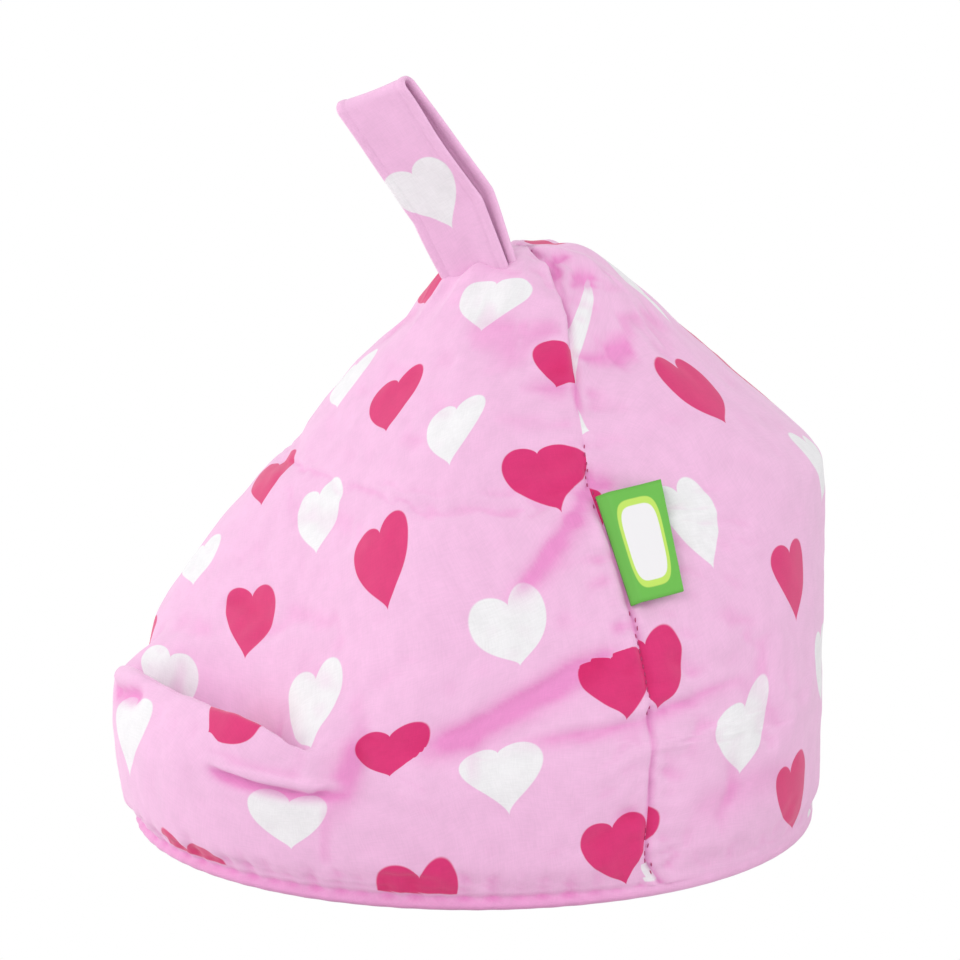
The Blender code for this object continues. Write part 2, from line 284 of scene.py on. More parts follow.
def section(height):
    """The radius and the set-back of the round section at a height."""
    below = np.sin(0.5 * math.pi * np.clip(height, 0.0, BELLY_HEIGHT) / BELLY_HEIGHT)
    rise = np.maximum(height - BELLY_HEIGHT, 0.0) / (SHOULDER_HEIGHT - BELLY_HEIGHT)
    lower = rise**LEAN_POWER
    fall = (height - SHOULDER_HEIGHT) / (CROWN_HEIGHT - SHOULDER_HEIGHT)
    radius = soft_min(
        mix(BELLY_RADIUS, SHOULDER_RADIUS, lower),
        mix(SHOULDER_RADIUS, CROWN_RADIUS, fall),
        SHOULDER_ROUND,
    )
    radius = np.where(height <= BELLY_HEIGHT, mix(BASE_RADIUS, BELLY_RADIUS, below), radius)
    upper_back = mix(SHOULDER_SET_BACK, CROWN_SET_BACK, np.minimum(fall, 1.0))
    set_back = np.where(height <= SHOULDER_HEIGHT, SHOULDER_SET_BACK * lower, upper_back)
    set_back = np.where(height <= BELLY_HEIGHT, mix(BASE_SET_BACK, 0.0, below), set_back)
    return radius, set_back


def seam_y(height):
    forward = SEAM_FORWARD * (1.0 - smooth_step(0.0, SEAM_UPRIGHT_HEIGHT, height))
    return CROWN_SET_BACK * smooth_step(SHOULDER_HEIGHT, CROWN_HEIGHT, height) - forward


def slope_y(height):
    return SLOPE_FOOT_Y + (height - SLOPE_FOOT_HEIGHT) * math.tan(SLOPE_LEAN)


def round_reach(height, angle):
    radius, set_back = section(height)
    off = set_back - seam_y(height)
    return off * np.sin(angle) + np.sqrt(np.maximum(radius**2 - (off * np.cos(angle)) ** 2, 1e-8))


def slope_reach(height, angle):
    facing = -np.sin(angle)
    reach = (seam_y(height) - slope_y(height)) / np.maximum(facing, 0.05)
    return np.where(facing < 0.05, 10.0, reach)


def side_angle(angle):
    """The angle away from the nearer side seam."""
    turned = np.mod(angle, math.pi)
    return np.minimum(turned, math.pi - turned)


def valley(height, angle):
    turn = side_angle(angle) / VALLEY_SPREAD
    path = SLOPE_FOOT_HEIGHT + VALLEY_RISE * (1.0 - turn)
    strength = smooth_step(0.0, 0.5, turn) * (1.0 - smooth_step(1.0, 1.3, turn))
    return VALLEY_DEPTH * strength * bell(height - path, VALLEY_HALF_WIDTH) * (np.sin(angle) < 0.0)


def drawn_in(height, angle):
    """How deep the drawn-in folds are at places on the bag's side."""
    radius = section(height)[0]
    total = 0.0
    for start_turn, start_height, end_turn, end_height, depth, half_width in FOLDS:
        start, turn = math.radians(start_turn), math.radians(end_turn - start_turn)
        along, climb = turn * radius, end_height - start_height
        here = (np.remainder(angle - start + math.pi, 2.0 * math.pi) - math.pi) * radius
        up = height - start_height
        share = np.clip((here * along + up * climb) / (along**2 + climb**2), 0.0, 1.0)
        total = total + depth * bell(np.hypot(here - share * along, up - share * climb), half_width)
    return total


def wall_reach(height, angle):
    reach = soft_min(round_reach(height, angle), slope_reach(height, angle), SLOPE_EDGE_ROUND)
    pinch = SEAM_PINCH * bell(side_angle(angle), SEAM_PINCH_ANGLE)
    pinch = pinch * smooth_step(0.0, BELLY_HEIGHT, height)
    return reach - pinch - valley(height, angle) - drawn_in(height, angle)


def lip_share(angle):
    room = round_reach(SLOPE_FOOT_HEIGHT, angle) - slope_reach(SLOPE_FOOT_HEIGHT, angle)
    full = round_reach(SLOPE_FOOT_HEIGHT, FRONT) - slope_reach(SLOPE_FOOT_HEIGHT, FRONT)
    return smooth_step(0.0, LIP_GROWTH, room / full)


def side_profile():
    heights = [BELLY_HEIGHT * share for share in BELLY_ROWS]
    heights += [BELLY_HEIGHT + step for step in LIP_ROW_STEPS]
    above_lip = heights[-1]
    heights += [mix(above_lip, SHOULDER_HEIGHT, share) for share in SLOPE_ROWS]
    heights += [mix(SHOULDER_HEIGHT, CROWN_HEIGHT, share) for share in TOP_ROWS]
    return heights


def lip_profile(angle):
    """Reach and height of the four rows that make the lip and the groove, from the outside in."""
    foot = slope_reach(SLOPE_FOOT_HEIGHT, angle)
    outside = round_reach(SLOPE_FOOT_HEIGHT, angle)
    inner_lip = foot + np.minimum(GROOVE_WIDTH, 0.5 * (outside - foot))
    bottom = SLOPE_FOOT_HEIGHT - GROOVE_DEPTH
    return [
        (mix(inner_lip, outside, 0.5), LIP_HEIGHT),
        (inner_lip, mix(LIP_HEIGHT, bottom, LIP_INSIDE_SHARE)),
        (mix(foot, inner_lip, 0.5), bottom),
        (foot - 0.001, SLOPE_FOOT_HEIGHT + 0.002),
    ]


def gathers(height, angle):
    strength = smooth_step(CROWN_HEIGHT - GATHER_REACH, CROWN_HEIGHT, height)
    return GATHER_DEPTH * strength * np.cos(GATHER_COUNT * angle)


def cage_row(row, angle):
    """The cage's points in a row, counted from the bottom, at an array of angles."""
    height = np.zeros_like(angle)
    rim = BASE_RADIUS - BASE_RIM_WIDTH
    middle = BASE_SET_BACK
    if row < len(BASE_ROWS):
        reach = np.full_like(angle, rim * BASE_ROWS[row])
    elif row < FIRST_SIDE_ROW:
        seam_row = row - len(BASE_ROWS)
        reach = np.full_like(angle, (rim, BASE_RADIUS, BASE_RADIUS - BASE_SEAM_DEPTH)[seam_row])
        height = height + (0.0, BASE_RIM_HEIGHT, BASE_SEAM_HEIGHT)[seam_row]
    elif row < FIRST_CROWN_ROW:
        height = height + side_profile()[row - FIRST_SIDE_ROW]
        reach = wall_reach(height, angle) + gathers(height, angle)
        share = lip_share(angle)
        if row < FIRST_LIP_ROW + len(LIP_ROW_STEPS):
            full = round_reach(height, angle) - drawn_in(height, angle)
            reach = mix(reach, full, np.minimum(LIP_WALL_LEAD * share, 1.0))
        if FIRST_LIP_ROW <= row < FIRST_LIP_ROW + len(LIP_ROW_STEPS):
            lip_reach, lip_height = lip_profile(angle)[row - FIRST_LIP_ROW]
            reach = np.where(share > 0.0, mix(reach, lip_reach, share), reach)
            height = mix(height, lip_height, share * share)
        middle = seam_y(height)
    else:
        inner = (CAGE_ROWS - row) / (CAGE_ROWS - FIRST_CROWN_ROW + 1)
        reach = (wall_reach(CROWN_HEIGHT, angle) + gathers(CROWN_HEIGHT, angle)) * inner
        height = height + CROWN_HEIGHT + CROWN_DOME * (1.0 - inner)
        middle = CROWN_SET_BACK
    points = np.stack([reach * np.cos(angle), middle + reach * np.sin(angle), height], axis=1)
    fade = smooth_step(CROWN_HEIGHT - GATHER_REACH, CROWN_HEIGHT, points[:, 2])
    points[:, 2] -= PLEAT_DEPTH * fade * bell(points[:, 1] - CROWN_SET_BACK, PLEAT_HALF_WIDTH)
    return points


def cloth_grid():
    """Rows of the cloth's points, from the base's middle to the crown's, as curves through the cage."""
    angle = np.arange(COLUMNS) * 2.0 * math.pi / COLUMNS
    cage = [cage_row(row, angle) for row in range(CAGE_ROWS + 1)]
    crown = cage[-2].copy()
    crown[:, :2] = 2.0 * cage[-1][:, :2] - crown[:, :2]
    cage = [2.0 * cage[0] - cage[1]] + cage + [crown, crown]
    rows = []
    for step in range(ROWS + 1):
        first, f = divmod(step, SPLIT)
        f /= SPLIT
        weights = ((1 - f) ** 3, 3 * f**3 - 6 * f**2 + 4, -3 * f**3 + 3 * f**2 + 3 * f + 1, f**3)
        rows.append(sum(w * cage[first + k] for k, w in enumerate(weights)) / 6.0)
    return np.array(rows)


def coordinates(mesh):
    flat = np.empty(len(mesh.vertices) * 3)
    mesh.vertices.foreach_get("co", flat)
    return flat.reshape(-1, 3)


def normals(mesh):
    flat = np.empty(len(mesh.vertices) * 3)
    mesh.vertices.foreach_get("normal", flat)
    return flat.reshape(-1, 3)


def set_coordinates(mesh, points):
    mesh.vertices.foreach_set("co", points.ravel())
    mesh.update()


def new_object(name, mesh):
    made = bpy.data.objects.new(name, mesh)
    bpy.context.scene.collection.objects.link(made)
    return made


def mesh_from(name, shape):
    mesh = bpy.data.meshes.new(name)
    shape.to_mesh(mesh)
    shape.free()
    mesh.shade_smooth()
    return mesh


def build_cloth():
    """The bag's cloth as a sphere's grid moved into place, with its panels marked by seams."""
    grid = cloth_grid()
    shape = bmesh.new()
    bmesh.ops.create_uvsphere(shape, u_segments=COLUMNS, v_segments=ROWS, radius=1.0)
    place = {}
    for vertex in shape.verts:
        row = ROWS - round(math.acos(min(max(vertex.co.z, -1.0), 1.0)) * ROWS / math.pi)
        column = round(math.atan2(vertex.co.y, vertex.co.x) * COLUMNS / (2 * math.pi)) % COLUMNS
        if row in (0, ROWS):
            column = 0
        place[vertex] = (row, column)
    for vertex, (row, column) in place.items():
        vertex.co = grid[row, column]
    base_row = BASE_SEAM_ROW * SPLIT
    for edge in shape.edges:
        (row_a, column_a), (row_b, column_b) = (place[vertex] for vertex in edge.verts)
        on_pole = ROWS in (row_a, row_b)
        columns = {column_a, column_b} if not on_pole else {column_a if row_b == ROWS else column_b}
        along_side = columns <= {0} or columns <= {COLUMNS // 2}
        edge.seam = (along_side and min(row_a, row_b) >= base_row) or row_a == row_b == base_row
    return new_object("cushion_cover", mesh_from("cushion_cover", shape)), grid


def line_field(points, line):
    """For each point its distance to a line of points, its share along the line and its height above it."""
    line = np.asarray(line, float)
    best = np.full(len(points), np.inf)
    along = np.zeros(len(points))
    above = np.zeros(len(points))
    done = 0.0
    for start, end in zip(line, line[1:]):
        edge = end - start
        length = np.linalg.norm(edge)
        share = np.clip((points - start) @ edge / length**2, 0.0, 1.0)
        nearest = start + share[:, None] * edge
        distance = np.linalg.norm(points - nearest, axis=1)
        closer = distance < best
        best = np.where(closer, distance, best)
        along = np.where(closer, done + share * length, along)
        above = np.where(closer, points[:, 2] - nearest[:, 2], above)
        done += length
    return best, along / done, above


def surface_point(tree, angle, height):
    """The bag's surface at an angle around the seam axis, in degrees, and a height in mm."""
    turn = math.radians(angle)
    height = height / 1000.0
    out = Vector((math.cos(turn), math.sin(turn), 0.0))
    axis = Vector((0.0, float(seam_y(height)), height))
    hit = tree.ray_cast(axis + out * 0.5, -out)[0]
    return hit if hit else tree.find_nearest(axis + out * CROWN_RADIUS)[0]


def fold_lines(cloth):
    """Draws in the finer folds between the lip, the seams and the crown, and stores the strength of their
    painted shade.
    """
    mesh = cloth.data
    tree = BVHTree.FromObject(cloth, bpy.context.evaluated_depsgraph_get())
    points = coordinates(mesh)
    outward = normals(mesh)
    move = np.zeros(len(points))
    shade_strength = np.zeros(len(points))
    for stations, depth, half_width, bulge in FINE_FOLDS:
        line = [surface_point(tree, *station) for station in stations]
        distance, along, above = line_field(points, line)
        wide = half_width / 1000.0
        fade = smooth_step(0.0, 0.22, along) * (1.0 - smooth_step(0.72, 1.0, along))
        upper = smooth_step(-0.5 * wide, 0.5 * wide, above)
        dip = -depth * bell(distance, wide * mix(1.3, 0.8, upper))
        rise = bulge * upper * bell(distance - 1.9 * wide, wide)
        move += (dip + rise) * fade / 1000.0
        # painted shade: the deeper a fold is drawn in, the darker its colour, stored in the "fold" attribute
        shade_strength = np.maximum(shade_strength, -dip * fade / FULL_SHADE_DEPTH)
    set_coordinates(mesh, points + outward * move[:, None])
    mesh.attributes.new("fold", "FLOAT", "POINT").data.foreach_set("value", np.minimum(shade_strength, 1.0))


def tuck_print(cloth):
    """Shifts the print just above the folds in which a strip of the cloth lies tucked in."""
    mesh = cloth.data
    tree = BVHTree.FromObject(cloth, bpy.context.evaluated_depsgraph_get())
    points = coordinates(mesh)
    shift = np.zeros(len(points))
    for fold, strip, reach in TUCKS:
        line = [surface_point(tree, *station) for station in FINE_FOLDS[fold][0]]
        distance, along, above = line_field(points, line)
        fade = smooth_step(0.0, 0.12, along) * (1.0 - smooth_step(0.9, 1.0, along))
        shift += strip * fade * (above > 0.0) * (1.0 - smooth_step(0.0, reach, distance))
    corner = np.empty(len(mesh.loops), int)
    mesh.loops.foreach_get("vertex_index", corner)
    flat = np.empty(len(mesh.loops) * 2)
    mesh.uv_layers["print"].data.foreach_get("uv", flat)
    flat[1::2] += shift[corner]
    mesh.uv_layers["print"].data.foreach_set("uv", flat)


def flatten(cloth):
    """Unwraps the cloth along its seams, as the flat panels it was cut from."""
    bpy.context.view_layer.objects.active = cloth
    cloth.select_set(True)
    bpy.ops.object.mode_set(mode="EDIT")
    bpy.ops.mesh.select_all(action="SELECT")
    bpy.ops.uv.unwrap(method="MINIMUM_STRETCH", iterations=12, margin=0.02)
    bpy.ops.object.mode_set(mode="OBJECT")
    cloth.select_set(False)
    cloth.data.uv_layers[0].name = "print"


def lay_print(cloth, grid):
    """Turns and eases each panel's flat shape so that the print's lattice meets the hearts as seen."""
    mesh = cloth.data
    tree = BVHTree.FromObject(cloth, bpy.context.evaluated_depsgraph_get())
    loops = len(mesh.loops)
    flat = np.empty(loops * 2)
    mesh.uv_layers["print"].data.foreach_get("uv", flat)
    flat = flat.reshape(-1, 2)
    corner = np.empty(loops, int)
    mesh.loops.foreach_get("vertex_index", corner)
    points = coordinates(mesh)[corner]
    owner = np.repeat(np.arange(len(mesh.polygons)), [p.loop_total for p in mesh.polygons])
    area = np.empty(len(mesh.polygons))
    mesh.polygons.foreach_get("area", area)
    centre = np.array([p.center for p in mesh.polygons])
    seam_height = grid[BASE_SEAM_ROW * SPLIT, 0, 2]
    base = centre[:, 2] < seam_height
    side = np.where(base, 0, np.where(centre[:, 1] < seam_y(centre[:, 2]), 1, 2))
    laid = np.zeros_like(flat)
    for panel, hearts in ((0, ()), (1, FRONT_HEARTS), (2, BACK_HEARTS)):
        faces = side == panel
        chosen = faces[owner]
        uv, xyz = flat[chosen], points[chosen]
        scale = math.sqrt(area[faces].sum() / uv_area(mesh, flat, faces))
        uv = (uv - uv.mean(0)) * scale
        if hearts:
            spots, targets = [], []
            for column, row, *places in hearts:
                middle = np.array((column * PRINT_ACROSS, row * PRINT_UP))
                for place, point in zip(places, HEART_POINTS):
                    if place:
                        hit = np.array(surface_point(tree, *place))
                        near = np.argsort(((xyz - hit) ** 2).sum(1))[:12]
                        spots.append(uv[near].mean(0))
                        targets.append(middle + 0.5 * HEART_WIDTH * np.array(point))
            uv = ease(uv, np.array(spots), np.array(targets))
        laid[chosen] = uv
    mesh.uv_layers["print"].data.foreach_set("uv", laid.ravel())


def uv_area(mesh, flat, faces):
    total = 0.0
    for index in np.nonzero(faces)[0]:
        polygon = mesh.polygons[index]
        x, y = flat[polygon.loop_start : polygon.loop_start + polygon.loop_total].T
        total += 0.5 * abs(np.dot(x, np.roll(y, -1)) - np.dot(y, np.roll(x, -1)))
    return total


def ease(uv, spots, targets):
    """Turns uv so that the spots meet their targets as nearly as they can, then bends it to meet them."""
    middle, goal = spots.mean(0), targets.mean(0)
    u, _, v = np.linalg.svd((spots - middle).T @ (targets - goal))
    turn = u @ v
    if np.linalg.det(turn) < 0:
        u[:, -1] *= -1
        turn = u @ v
    turned = (uv - middle) @ turn + goal
    spots = (spots - middle) @ turn + goal
    for reach, calm in ((0.080, 0.3), (0.032, 0.06)):

        def kernel(a, b):
            return np.exp(-((a[:, None, :] - b[None, :, :]) ** 2).sum(2) / reach**2)

        weights = np.linalg.solve(kernel(spots, spots) + calm * np.eye(len(spots)), targets - spots)
        turned = turned + kernel(turned, spots) @ weights
        spots = spots + kernel(spots, spots) @ weights
    return turned


def evened(mesh, values, rounds):
    """Values of the vertices, averaged with their neighbours' values a number of times."""
    ends = np.empty(len(mesh.edges) * 2, int)
    mesh.edges.foreach_get("vertices", ends)
    start, end = ends[0::2], ends[1::2]
    count = len(values)
    neighbours = np.bincount(ends, minlength=count)
    for _ in range(rounds):
        columns = []
        for column in values.T:
            total = np.bincount(start, column[end], count) + np.bincount(end, column[start], count)
            columns.append(0.2 * column + 0.8 * total / neighbours)
        values = np.stack(columns, axis=1)
    return values


def fill(cloth):
    """Swells the cloth with pressure, its seams held, and keeps the wrinkles but not the wider swelling."""
    mesh = cloth.data
    before = coordinates(mesh)
    held = np.minimum(np.abs(before[:, 1] - seam_y(before[:, 2])), 1.0) < PINNED_SEAM
    held &= np.abs(before[:, 0]) > 0.01
    held |= before[:, 2] < PINNED_BASE_HEIGHT
    held |= (before[:, 2] > CROWN_HEIGHT - 0.008) & (np.abs(before[:, 1] - CROWN_SET_BACK) < 0.012)
    pins = cloth.vertex_groups.new(name="pins")
    pins.add(np.nonzero(held)[0].tolist(), 1.0, "REPLACE")
    modifier = cloth.modifiers.new("Cloth", "CLOTH")
    settings = modifier.settings
    settings.quality = 4
    settings.mass = 0.2
    settings.tension_stiffness = 20.0
    settings.compression_stiffness = 20.0
    settings.shear_stiffness = 8.0
    settings.bending_stiffness = 0.3
    settings.air_damping = 3.0
    settings.shrink_min = -0.02
    settings.use_pressure = True
    settings.uniform_pressure_force = FILL_PRESSURE
    settings.vertex_group_mass = "pins"
    settings.effector_weights.gravity = 0.0
    modifier.collision_settings.use_collision = False
    scene = bpy.context.scene
    for step in range(1, FILL_FRAMES + 1):
        scene.frame_set(step)
    seen = cloth.evaluated_get(bpy.context.evaluated_depsgraph_get()).to_mesh()
    after = coordinates(seen)
    cloth.modifiers.remove(modifier)
    scene.frame_set(1)
    move = after - before
    move -= evened(mesh, move, SWELL_ROUNDS)
    move *= smooth_step(0.004, 0.016, before[:, 2])[:, None]
    length = np.maximum(np.linalg.norm(move, axis=1), 1e-9)
    move *= (FILL_LIMIT * np.tanh(length / FILL_LIMIT) / length)[:, None]
    after = before + move
    after[:, 2] = np.maximum(after[:, 2], 0.0)
    set_coordinates(mesh, after)


def subdivide(cloth):
    """Applies one subdivision."""
    modifier = cloth.modifiers.new("Soft form", "SUBSURF")
    modifier.levels = 1
    modifier.render_levels = 1
    modifier.use_limit_surface = False
    evaluated = cloth.evaluated_get(bpy.context.evaluated_depsgraph_get())
    mesh = bpy.data.meshes.new_from_object(evaluated)
    cloth.modifiers.remove(modifier)
    old = cloth.data
    cloth.data = mesh
    bpy.data.meshes.remove(old)
    mesh.name = "cushion_cover"
    mesh.shade_smooth()


def ripple(along, lengths, seed):
    """Irregular waves along a seam, from -1 to 1."""
    waves = 0
    for k, length in enumerate(lengths):
        waves = waves + math.cos(seed * k) * np.sin(2 * math.pi * along / length + seed * (k + 1))
    return waves / len(lengths)


def roll_share(angle):
    """How far the base's seam stands out as a roll: fully at the front, hardly at the back."""
    return mix(0.2, 1.0, smooth_step(0.15, -0.3, np.sin(angle)))


def sew_seams(cloth, grid):
    """Sharp seam grooves with puckers on both sides, and fine unevenness of the filled cloth."""
    mesh = cloth.data
    points = coordinates(mesh)
    outward = normals(mesh)
    move = np.zeros(len(points))
    base_row = BASE_SEAM_ROW * SPLIT
    for column in (0, COLUMNS // 2):
        line = grid[base_row : ROWS + 1 : 2, column]
        distance, share, _ = line_field(points, line)
        length = np.linalg.norm(np.diff(line, axis=0), axis=1).sum()
        along = share * length
        side = np.sign(points[:, 1] - seam_y(points[:, 2]))
        waves = np.where(
            side > 0,
            ripple(along, (0.0075, 0.0118, 0.019), 1.7 + column),
            ripple(along, (0.0083, 0.0127, 0.022), 3.1 + column),
        )
        pucker = bell(distance, PUCKERS[1]) * (1.0 - bell(distance, PUCKER_GAP))
        seam = PUCKERS[0] * pucker * waves - SEAM_GROOVE[0] * bell(distance, SEAM_GROOVE[1])
        seam = seam + SEAM_ROLL[0] * bell(distance - SEAM_ROLL_PLACE, SEAM_ROLL[1])
        move += (points[:, 2] > BASE_SEAM_HEIGHT) * seam
    height = points[:, 2] - BASE_SEAM_HEIGHT
    angle = np.arctan2(points[:, 1], points[:, 0])
    rolled = roll_share(angle)
    rim = np.hypot(points[:, 0], points[:, 1]) > 0.9 * BASE_RADIUS
    waves = ripple(angle * BELLY_RADIUS, (0.0095, 0.0137, 0.024), 2.3)
    low = BASE_WAVES[0] * bell(height - BASE_WAVES_HEIGHT, BASE_WAVES[1]) * waves * rolled
    flush = BASE_FLUSH[0] * (1.0 - rolled) * bell(height, BASE_FLUSH[1])
    groove = BASE_GROOVE[0] * rolled * bell(height, BASE_GROOVE[1])
    move += rim * (low + flush - groove)
    spots = [Vector(point) for point in points]
    grain = np.array([noise.noise(spot * 55.0) + 0.5 * noise.noise(spot * 130.0) for spot in spots])
    move += GRAIN_HEIGHT * grain * smooth_step(0.004, 0.012, points[:, 2])
    points = points + outward * move[:, None]
    points[:, 2] = np.maximum(points[:, 2], 0.0)
    set_coordinates(mesh, points)


def paint_shade_and_plain_edge(cloth):
    """Stores painted shade, darker where a place lies deeper under the cloth around it, in the drawn folds
    and under the base's roll, and where the base's edge has no print.
    """
    mesh = cloth.data
    points = coordinates(mesh)
    outward = normals(mesh)
    painted_shade = np.zeros(len(points))
    # painted shade: the drawn folds' shade, plus places lying below the cloth around them, at two scales
    mesh.attributes["fold"].data.foreach_get("value", painted_shade)
    for rounds, depth in ((5, 0.0005), (60, 0.0018)):
        dip = ((evened(mesh, points, rounds) - points) * outward).sum(1)
        painted_shade += 0.45 * np.clip(dip / depth, 0.0, 1.0)
    rim = np.hypot(points[:, 0], points[:, 1]) > 0.9 * BASE_RADIUS
    angle = np.arctan2(points[:, 1], points[:, 0])
    # painted shade under the base's roll, strongest at the front where the roll stands out
    painted_shade += 0.6 * rim * roll_share(angle) * (1.0 - smooth_step(0.004, 0.008, points[:, 2]))
    mesh.attributes.new("painted_shade", "FLOAT", "POINT").data.foreach_set("value", np.minimum(painted_shade, 1.0))
    plain = rim * (points[:, 2] < BASE_SEAM_HEIGHT + BASE_PLAIN_EDGE)
    mesh.attributes.new("plain", "FLOAT", "POINT").data.foreach_set("value", plain.astype(float))


def loft(name, rings, width, length):
    """A closed skin through rings of points. Its print coordinates run around the rings and along them."""
    count, around = len(rings), len(rings[0])
    shape = bmesh.new()
    bmesh.ops.create_grid(shape, x_segments=around, y_segments=count - 1, size=0.5)
    layer = shape.loops.layers.uv.new("print")
    for face in shape.faces:
        for corner in face.loops:
            spot = corner.vert.co
            corner[layer].uv = ((spot.x + 0.5) * width, (spot.y + 0.5) * length)
    for vertex in shape.verts:
        ring = round((vertex.co.y + 0.5) * (count - 1))
        step = round((vertex.co.x + 0.5) * around) % around
        vertex.co = rings[ring][step]
    bmesh.ops.remove_doubles(shape, verts=shape.verts, dist=1e-7)
    open_edges = [edge for edge in shape.edges if edge.is_boundary]
    bmesh.ops.holes_fill(shape, edges=open_edges, sides=0)
    bmesh.ops.recalc_face_normals(shape, faces=shape.faces)
    return new_object(name, mesh_from(name, shape))


def strap_path(count):
    """Points of the strap's centre line, as (offset out of the loop's middle, distance along the loop)."""
    foot = 0.5 * (LOOP_FOOT_GAP + STRAP_THICKNESS)
    belly = 0.5 * (LOOP_GAP + STRAP_THICKNESS)
    turn = FOLD_FLATNESS * belly
    rise = LOOP_LENGTH - turn - 0.5 * STRAP_THICKNESS
    leg = []
    for step in range(count):
        share = step / (count - 1)
        open_up = math.sin(0.5 * math.pi * min(share / LOOP_WIDEST, 1.0))
        close = 1.0 - LOOP_CLOSING * float(smooth_step(LOOP_WIDEST, 1.0, share))
        leg.append((mix(foot, belly, open_up) * close, rise * share))
    angles = [math.pi * k / 12 for k in range(1, 12)]
    bend = [(turn * math.cos(angle), rise + turn * math.sin(angle)) for angle in angles]
    return leg + bend + [(-offset, along) for offset, along in reversed(leg)]


def loop_axes():
    """The loop's directions: across the strap, along the loop from its foot, and out of its front face."""
    level = math.cos(LOOP_TILT)
    across = Vector((level * math.cos(LOOP_TURN), level * math.sin(LOOP_TURN), math.sin(LOOP_TILT)))
    facing = Vector((math.sin(LOOP_TURN), -math.cos(LOOP_TURN), 0.0))
    rising = facing.cross(across)
    along = rising * math.cos(LOOP_LEAN) + facing * math.sin(LOOP_LEAN)
    return across, along, across.cross(along)


def build_strap(cloth):
    """The folded strap, hemmed along both edges, as a thick ribbon from foot to foot."""
    tree = BVHTree.FromObject(cloth, bpy.context.evaluated_depsgraph_get())
    across, up, out = loop_axes()
    down = Vector((0.0, 0.0, -1.0))
    foot = Vector((0.0, STRAP_FOOT_Y, STRAP_FOOT_HEIGHT))
    path = strap_path(56)
    half = 0.5 * STRAP_WIDTH
    lanes = np.linspace(-1.0, 1.0, 41)
    rings = []
    run = 0.0
    for index, (offset, along) in enumerate(path):
        before = path[max(index - 1, 0)]
        after = path[min(index + 1, len(path) - 1)]
        run += math.dist(path[index - 1], (offset, along)) if index else 0.0
        slope = Vector((after[0] - before[0], after[1] - before[1])).normalized()
        outward = out * slope.y - up * slope.x
        ring = []
        for face in (1.0, -1.0):
            for lane in lanes if face > 0 else lanes[::-1]:
                side = half * lane * (1.0 + 0.010 * math.sin(run * 210.0 + lane))
                hem = HEM[2] * math.exp(-(((abs(lane) - HEM[0]) / HEM[1]) ** 2))
                stitch = STITCH_LINE[2] * math.exp(-(((abs(lane) - STITCH_LINE[0]) / STITCH_LINE[1]) ** 2))
                edge = math.sqrt(max(1.0 - max(abs(lane) - 0.94, 0.0) ** 2 / 0.06**2, 0.0))
                thick = (0.5 * STRAP_THICKNESS - 0.0002 + hem - stitch) * max(edge, 0.12)
                wave = 0.0004 * math.sin(run * 160.0 + 2.0 * lane)
                side += mix(*STRAP_DRIFT, along / LOOP_LENGTH)
                side += STRAP_BACK_DRIFT * (offset < 0.0) * (1.0 - along / LOOP_LENGTH) ** 0.7
                level = foot + across * side + out * offset
                root = tree.ray_cast(Vector((level.x, level.y, 0.4)), down)[0]
                root = Vector((level.x, level.y, root.z - STRAP_ROOT_DEPTH))
                base = root.lerp(level, min(along / (LOOP_ROOT * LOOP_LENGTH), 1.0))
                ring.append(base + up * along + outward * (face * thick + wave))
        rings.append(ring)
    around = len(rings[0])
    return loft("carry_strap", rings, 2.0 * STRAP_WIDTH * around / (around - 2), run)


def build_label(cloth):
    """A folded tape that lies on the back panel, from the seam to its free edge."""
    tree = BVHTree.FromObject(cloth, bpy.context.evaluated_depsgraph_get())
    (low_seam, high_seam), (low_free, high_free) = LABEL_CORNERS
    outward = (high_free - low_seam).cross(high_seam - low_free).normalized()
    if outward.x < 0.0:
        outward = -outward
    layer = LABEL_LAYER
    lanes = [k / 16 for k in range(17)]
    profile = [(lane, 2.0 * layer + 0.0003) for lane in lanes]
    profile += [(1.012, 1.6 * layer + 0.0003), (1.016, layer + 0.00015), (1.012, 0.4 * layer)]
    profile += [(lane, 0.0) for lane in reversed(lanes)]
    spots = []
    deepest = 0.0
    for step in range(25):
        seam = low_seam.lerp(high_seam, step / 24)
        free = low_free.lerp(high_free, step / 24)
        spots.append([(seam.lerp(free, lane), lane, stand) for lane, stand in profile])
        for spot, lane, _ in spots[-1]:
            hit = tree.ray_cast(spot + outward * 0.05, -outward)[0]
            if hit and lane > 0.15:
                deepest = max(deepest, (hit - spot).dot(outward))
    rings = []
    for row in spots:
        ring = []
        for spot, lane, stand in row:
            lift = (deepest + LABEL_CLEARANCE) * float(smooth_step(-0.02, 0.2, lane))
            lift += LABEL_CURL * lane * lane
            ring.append(spot + outward * (lift + stand))
        rings.append(ring)
    around = len(rings[0])
    return loft("side_tab", rings, around / 17.0, 1.0)


